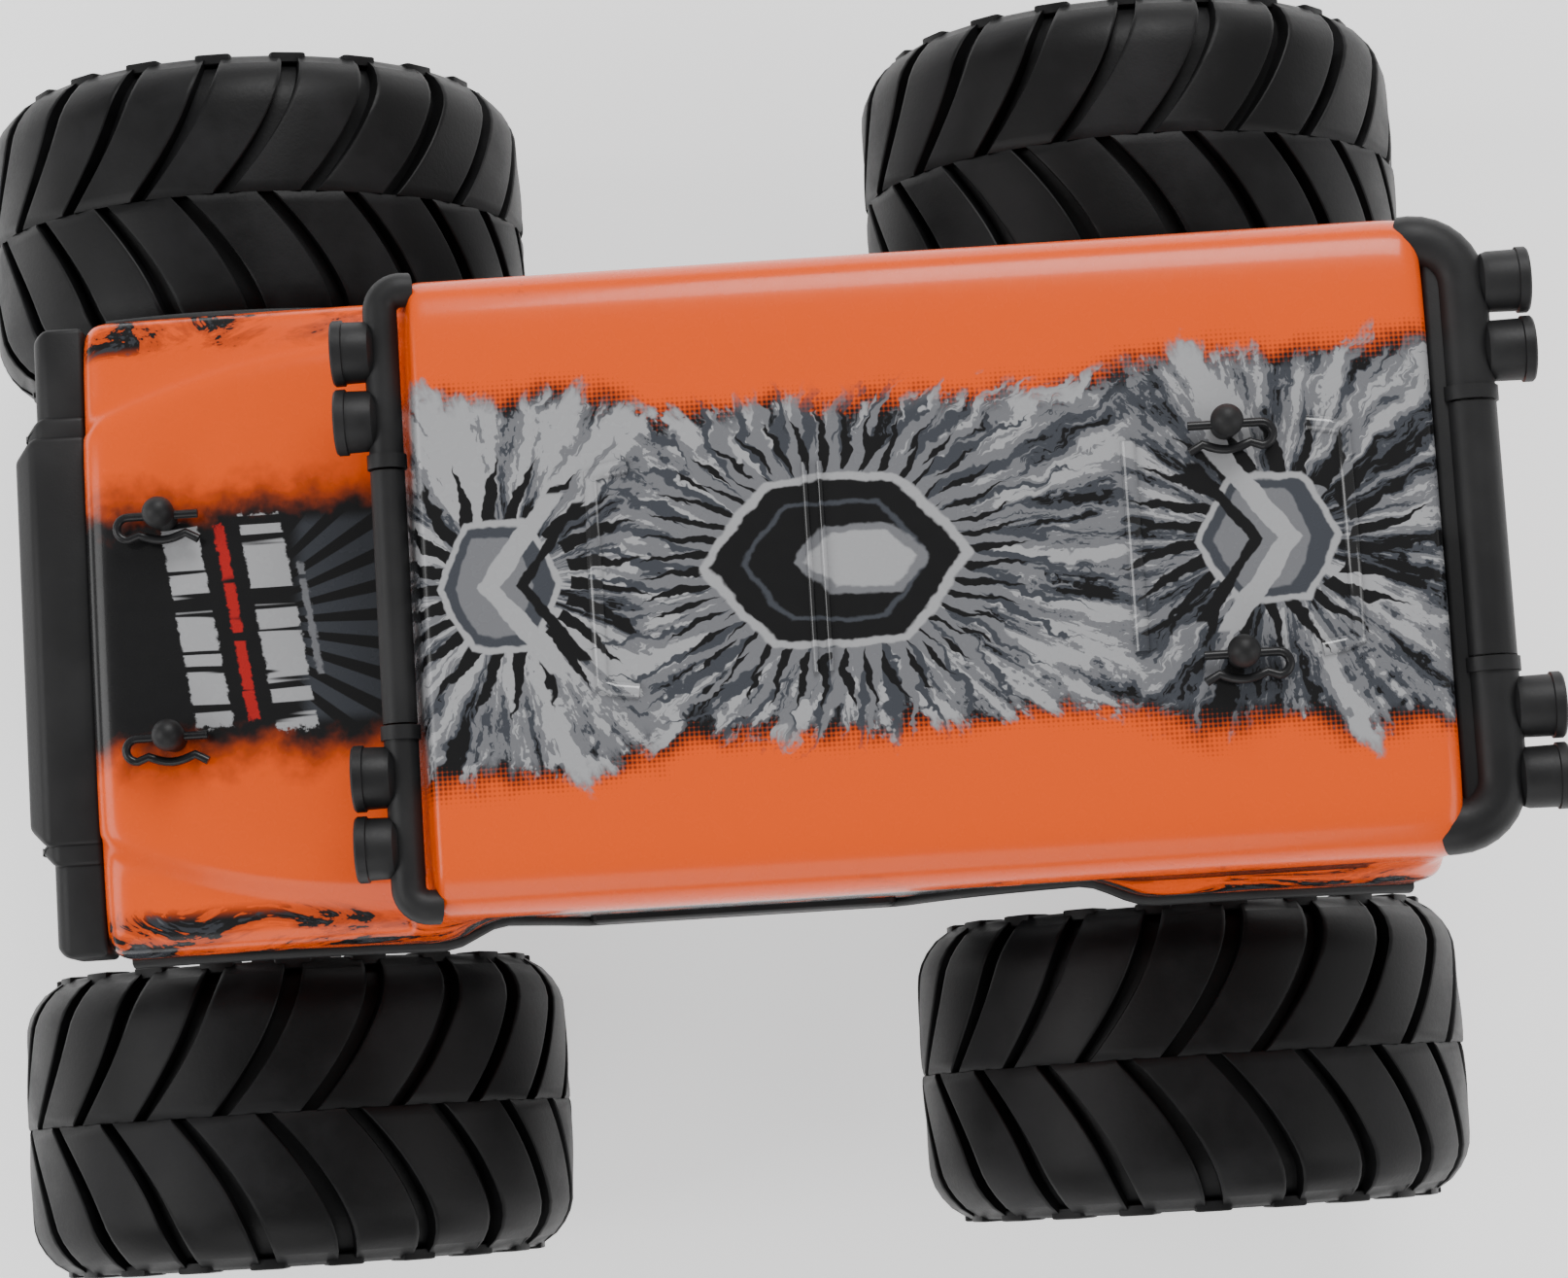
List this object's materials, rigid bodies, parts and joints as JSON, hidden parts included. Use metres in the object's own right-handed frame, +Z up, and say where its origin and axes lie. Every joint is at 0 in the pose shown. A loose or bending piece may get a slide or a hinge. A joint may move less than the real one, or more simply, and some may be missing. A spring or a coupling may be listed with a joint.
{
  "type": "rc monster truck",
  "caption": "Radio-controlled monster truck with a printed hard shell, roof light bars, sprung independent suspension, working steering and a geared rear axle.",
  "frame": {"origin": "bottom centre of the bounding box, on the ground under the middle of the truck", "axes": "+X forward to the nose, +Y to the truck's left, +Z up"},
  "size_m": [0.3127, 0.2504, 0.1891],
  "materials": {
    "body_paint": "printed gloss polycarbonate",
    "black_plastic": "fine matte moulded",
    "grey_plastic": "glass-filled nylon",
    "tyre": "satin soft rubber",
    "rim_plastic": "satin moulded",
    "steel": "plain steel",
    "motor_can": "plated can",
    "spring_steel": "painted spring wire",
    "shock_metal": "anodised",
    "lens": "clear lens",
    "battery_wrap": "shrink wrap",
    "gear_nylon": "natural nylon"
  },
  "bodies": {
    "chassis": {"chassis_plate": "black_plastic", "front_bulkhead": "grey_plastic", "gearbox_case": "grey_plastic", "gearbox_cover": "grey_plastic", "shock_towers": "grey_plastic", "suspension_pins": "steel", "motor": "motor_can", "battery_pack": "battery_wrap", "speed_controller": "black_plastic", "steering_servo": "black_plastic", "body_shell": "body_paint", "body_posts": "black_plastic", "body_clips": "black_plastic", "grille_guard": "black_plastic", "roof_light_bars": "black_plastic", "lamp_lenses": "lens"},
    "servo_horn": {"servo_horn": "gear_nylon"},
    "steering_rack": {"steering_rack": "grey_plastic"},
    "drive_gear": {"drive_gear": "gear_nylon"},
    "motor_pinion": {"motor_pinion": "steel"},
    "fl_lower_arm": {"fl_lower_arm": "grey_plastic"},
    "fl_upper_link": {"fl_upper_link": "grey_plastic"},
    "fl_hub_carrier": {"fl_hub_carrier": "grey_plastic"},
    "fl_shock_tube": {"fl_shock_tube": "shock_metal", "fl_spring": "spring_steel"},
    "fl_shock_rod": {"fl_shock_rod": "steel"},
    "fl_wheel": {"fl_tyre": "tyre", "fl_rim": "rim_plastic"},
    "fl_knuckle": {"fl_knuckle": "grey_plastic"},
    "fl_tie_rod": {"fl_tie_rod": "grey_plastic"},
    "fr_lower_arm": {"fr_lower_arm": "grey_plastic"},
    "fr_upper_link": {"fr_upper_link": "grey_plastic"},
    "fr_hub_carrier": {"fr_hub_carrier": "grey_plastic"},
    "fr_shock_tube": {"fr_shock_tube": "shock_metal", "fr_spring": "spring_steel"},
    "fr_shock_rod": {"fr_shock_rod": "steel"},
    "fr_wheel": {"fr_tyre": "tyre", "fr_rim": "rim_plastic"},
    "fr_knuckle": {"fr_knuckle": "grey_plastic"},
    "fr_tie_rod": {"fr_tie_rod": "grey_plastic"},
    "rl_lower_arm": {"rl_lower_arm": "grey_plastic"},
    "rl_upper_link": {"rl_upper_link": "grey_plastic"},
    "rl_hub_carrier": {"rl_hub_carrier": "grey_plastic"},
    "rl_shock_tube": {"rl_shock_tube": "shock_metal", "rl_spring": "spring_steel"},
    "rl_shock_rod": {"rl_shock_rod": "steel"},
    "rl_wheel": {"rl_tyre": "tyre", "rl_rim": "rim_plastic", "rl_wheel_axle": "steel"},
    "rl_dogbone": {"rl_dogbone": "steel"},
    "rr_lower_arm": {"rr_lower_arm": "grey_plastic"},
    "rr_upper_link": {"rr_upper_link": "grey_plastic"},
    "rr_hub_carrier": {"rr_hub_carrier": "grey_plastic"},
    "rr_shock_tube": {"rr_shock_tube": "shock_metal", "rr_spring": "spring_steel"},
    "rr_shock_rod": {"rr_shock_rod": "steel"},
    "rr_wheel": {"rr_tyre": "tyre", "rr_rim": "rim_plastic", "rr_wheel_axle": "steel"},
    "rr_dogbone": {"rr_dogbone": "steel"}
  },
  "joints": [
    {"name": "fl_suspension", "type": "hinge", "parent": "chassis", "child": "fl_lower_arm", "pos_m": [0.09885, 0.022, 0.047], "axis": [1, 0, 0], "range_deg": [-10, 12], "stiffness_Nm_per_rad": 0.8, "springref_deg": -4.3},
    {"name": "fl_link_swing", "type": "hinge", "parent": "chassis", "child": "fl_upper_link", "pos_m": [0.09485, 0.022, 0.072], "axis": [1, 0, 0], "range_deg": [-10, 12]},
    {"name": "fl_carrier_tilt", "type": "hinge", "parent": "fl_lower_arm", "child": "fl_hub_carrier", "pos_m": [0.09885, 0.062, 0.044], "axis": [1, 0, 0], "range_deg": [-12, 10]},
    {"name": "fl_shock_swing", "type": "hinge", "parent": "chassis", "child": "fl_shock_tube", "pos_m": [0.10685, 0.034, 0.106], "axis": [1, 0, 0], "range_deg": [-0.61, 0.72]},
    {"name": "fl_shock_slide", "type": "slide", "parent": "fl_shock_tube", "child": "fl_shock_rod", "axis": [0, 0.2793, -0.9602], "range_m": [-0.00589, 0.00491], "deforming": ["fl_spring"]},
    {"name": "fl_steer", "type": "hinge", "parent": "fl_hub_carrier", "child": "fl_knuckle", "pos_m": [0.09885, 0.072, 0.0575], "axis": [0, 0, 1], "range_deg": [-22, 22]},
    {"name": "fl_wheel_spin", "type": "hinge", "parent": "fl_knuckle", "child": "fl_wheel", "pos_m": [0.09885, 0.094, 0.0575], "axis": [0, 1, 0], "continuous": true},
    {"name": "fl_tie_swing", "type": "hinge", "parent": "steering_rack", "child": "fl_tie_rod", "pos_m": [0.08285, 0.032, 0.066], "axis": [1, 0, 0], "range_deg": [-10, 12]},
    {"name": "fr_suspension", "type": "hinge", "parent": "chassis", "child": "fr_lower_arm", "pos_m": [0.09885, -0.022, 0.047], "axis": [-1, 0, 0], "range_deg": [-10, 12], "stiffness_Nm_per_rad": 0.8, "springref_deg": -4.3},
    {"name": "fr_link_swing", "type": "hinge", "parent": "chassis", "child": "fr_upper_link", "pos_m": [0.09485, -0.022, 0.072], "axis": [-1, 0, 0], "range_deg": [-10, 12]},
    {"name": "fr_carrier_tilt", "type": "hinge", "parent": "fr_lower_arm", "child": "fr_hub_carrier", "pos_m": [0.09885, -0.062, 0.044], "axis": [-1, 0, 0], "range_deg": [-12, 10]},
    {"name": "fr_shock_swing", "type": "hinge", "parent": "chassis", "child": "fr_shock_tube", "pos_m": [0.10685, -0.034, 0.106], "axis": [-1, 0, 0], "range_deg": [-0.61, 0.72]},
    {"name": "fr_shock_slide", "type": "slide", "parent": "fr_shock_tube", "child": "fr_shock_rod", "axis": [0, -0.2793, -0.9602], "range_m": [-0.00589, 0.00491], "deforming": ["fr_spring"]},
    {"name": "fr_steer", "type": "hinge", "parent": "fr_hub_carrier", "child": "fr_knuckle", "pos_m": [0.09885, -0.072, 0.0575], "axis": [0, 0, 1], "range_deg": [-22, 22]},
    {"name": "fr_wheel_spin", "type": "hinge", "parent": "fr_knuckle", "child": "fr_wheel", "pos_m": [0.09885, -0.094, 0.0575], "axis": [0, 1, 0], "continuous": true},
    {"name": "fr_tie_swing", "type": "hinge", "parent": "steering_rack", "child": "fr_tie_rod", "pos_m": [0.08285, -0.032, 0.066], "axis": [-1, 0, 0], "range_deg": [-10, 12]},
    {"name": "rl_suspension", "type": "hinge", "parent": "chassis", "child": "rl_lower_arm", "pos_m": [-0.09115, 0.022, 0.047], "axis": [1, 0, 0], "range_deg": [-10, 12], "stiffness_Nm_per_rad": 0.8, "springref_deg": -4.3},
    {"name": "rl_link_swing", "type": "hinge", "parent": "chassis", "child": "rl_upper_link", "pos_m": [-0.08715, 0.022, 0.072], "axis": [1, 0, 0], "range_deg": [-10, 12]},
    {"name": "rl_carrier_tilt", "type": "hinge", "parent": "rl_lower_arm", "child": "rl_hub_carrier", "pos_m": [-0.09115, 0.062, 0.044], "axis": [1, 0, 0], "range_deg": [-12, 10]},
    {"name": "rl_shock_swing", "type": "hinge", "parent": "chassis", "child": "rl_shock_tube", "pos_m": [-0.09915, 0.034, 0.106], "axis": [1, 0, 0], "range_deg": [-0.61, 0.72]},
    {"name": "rl_shock_slide", "type": "slide", "parent": "rl_shock_tube", "child": "rl_shock_rod", "axis": [0, 0.2793, -0.9602], "range_m": [-0.00589, 0.00491], "deforming": ["rl_spring"]},
    {"name": "rl_dogbone_swing", "type": "hinge", "parent": "chassis", "child": "rl_dogbone", "pos_m": [-0.09115, 0.0203, 0.0575], "axis": [1, 0, 0], "range_deg": [-10, 12]},
    {"name": "rl_wheel_spin", "type": "hinge", "parent": "rl_hub_carrier", "child": "rl_wheel", "pos_m": [-0.09115, 0.094, 0.0575], "axis": [0, 1, 0], "continuous": true},
    {"name": "rr_suspension", "type": "hinge", "parent": "chassis", "child": "rr_lower_arm", "pos_m": [-0.09115, -0.022, 0.047], "axis": [-1, 0, 0], "range_deg": [-10, 12], "stiffness_Nm_per_rad": 0.8, "springref_deg": -4.3},
    {"name": "rr_link_swing", "type": "hinge", "parent": "chassis", "child": "rr_upper_link", "pos_m": [-0.08715, -0.022, 0.072], "axis": [-1, 0, 0], "range_deg": [-10, 12]},
    {"name": "rr_carrier_tilt", "type": "hinge", "parent": "rr_lower_arm", "child": "rr_hub_carrier", "pos_m": [-0.09115, -0.062, 0.044], "axis": [-1, 0, 0], "range_deg": [-12, 10]},
    {"name": "rr_shock_swing", "type": "hinge", "parent": "chassis", "child": "rr_shock_tube", "pos_m": [-0.09915, -0.034, 0.106], "axis": [-1, 0, 0], "range_deg": [-0.61, 0.72]},
    {"name": "rr_shock_slide", "type": "slide", "parent": "rr_shock_tube", "child": "rr_shock_rod", "axis": [0, -0.2793, -0.9602], "range_m": [-0.00589, 0.00491], "deforming": ["rr_spring"]},
    {"name": "rr_dogbone_swing", "type": "hinge", "parent": "chassis", "child": "rr_dogbone", "pos_m": [-0.09115, -0.0203, 0.0575], "axis": [-1, 0, 0], "range_deg": [-10, 12]},
    {"name": "rr_wheel_spin", "type": "hinge", "parent": "rr_hub_carrier", "child": "rr_wheel", "pos_m": [-0.09115, -0.094, 0.0575], "axis": [0, 1, 0], "continuous": true},
    {"name": "servo_turn", "type": "hinge", "parent": "chassis", "child": "servo_horn", "pos_m": [0.06685, 0, 0.0708], "axis": [0, 0, 1], "range_deg": [-22, 22]},
    {"name": "rack_slide", "type": "slide", "parent": "chassis", "child": "steering_rack", "axis": [0, 1, 0], "range_m": [-0.00616, 0.00616]},
    {"name": "drive_gear_spin", "type": "hinge", "parent": "chassis", "child": "drive_gear", "pos_m": [-0.09115, -0.012, 0.0575], "axis": [0, 1, 0], "continuous": true},
    {"name": "pinion_spin", "type": "hinge", "parent": "chassis", "child": "motor_pinion", "pos_m": [-0.07643, -0.012, 0.066], "axis": [0, 1, 0], "continuous": true}
  ],
  "couplings": [
    {"joint": "fl_link_swing", "follows": "fl_suspension", "ratio": 1},
    {"joint": "fl_carrier_tilt", "follows": "fl_suspension", "ratio": -1},
    {"joint": "fl_shock_swing", "follows": "fl_suspension", "ratio": 0.055902},
    {"joint": "fl_shock_slide", "follows": "fl_suspension", "m_per_rad": -0.028006},
    {"joint": "fl_steer", "follows": "servo_turn", "ratio": -1},
    {"joint": "fl_tie_swing", "follows": "fl_suspension", "ratio": 1},
    {"joint": "fr_link_swing", "follows": "fr_suspension", "ratio": 1},
    {"joint": "fr_carrier_tilt", "follows": "fr_suspension", "ratio": -1},
    {"joint": "fr_shock_swing", "follows": "fr_suspension", "ratio": 0.055902},
    {"joint": "fr_shock_slide", "follows": "fr_suspension", "m_per_rad": -0.028006},
    {"joint": "fr_steer", "follows": "servo_turn", "ratio": -1},
    {"joint": "fr_tie_swing", "follows": "fr_suspension", "ratio": 1},
    {"joint": "rl_link_swing", "follows": "rl_suspension", "ratio": 1},
    {"joint": "rl_carrier_tilt", "follows": "rl_suspension", "ratio": -1},
    {"joint": "rl_shock_swing", "follows": "rl_suspension", "ratio": 0.055902},
    {"joint": "rl_shock_slide", "follows": "rl_suspension", "m_per_rad": -0.028006},
    {"joint": "rl_dogbone_swing", "follows": "rl_suspension", "ratio": 1},
    {"joint": "rr_link_swing", "follows": "rr_suspension", "ratio": 1},
    {"joint": "rr_carrier_tilt", "follows": "rr_suspension", "ratio": -1},
    {"joint": "rr_shock_swing", "follows": "rr_suspension", "ratio": 0.055902},
    {"joint": "rr_shock_slide", "follows": "rr_suspension", "m_per_rad": -0.028006},
    {"joint": "rr_dogbone_swing", "follows": "rr_suspension", "ratio": 1},
    {"joint": "rack_slide", "follows": "servo_turn", "m_per_rad": 0.016},
    {"joint": "rr_wheel_spin", "follows": "rl_wheel_spin", "ratio": 1},
    {"joint": "drive_gear_spin", "follows": "rl_wheel_spin", "ratio": 1},
    {"joint": "pinion_spin", "follows": "rl_wheel_spin", "ratio": -3.25}
  ]
}
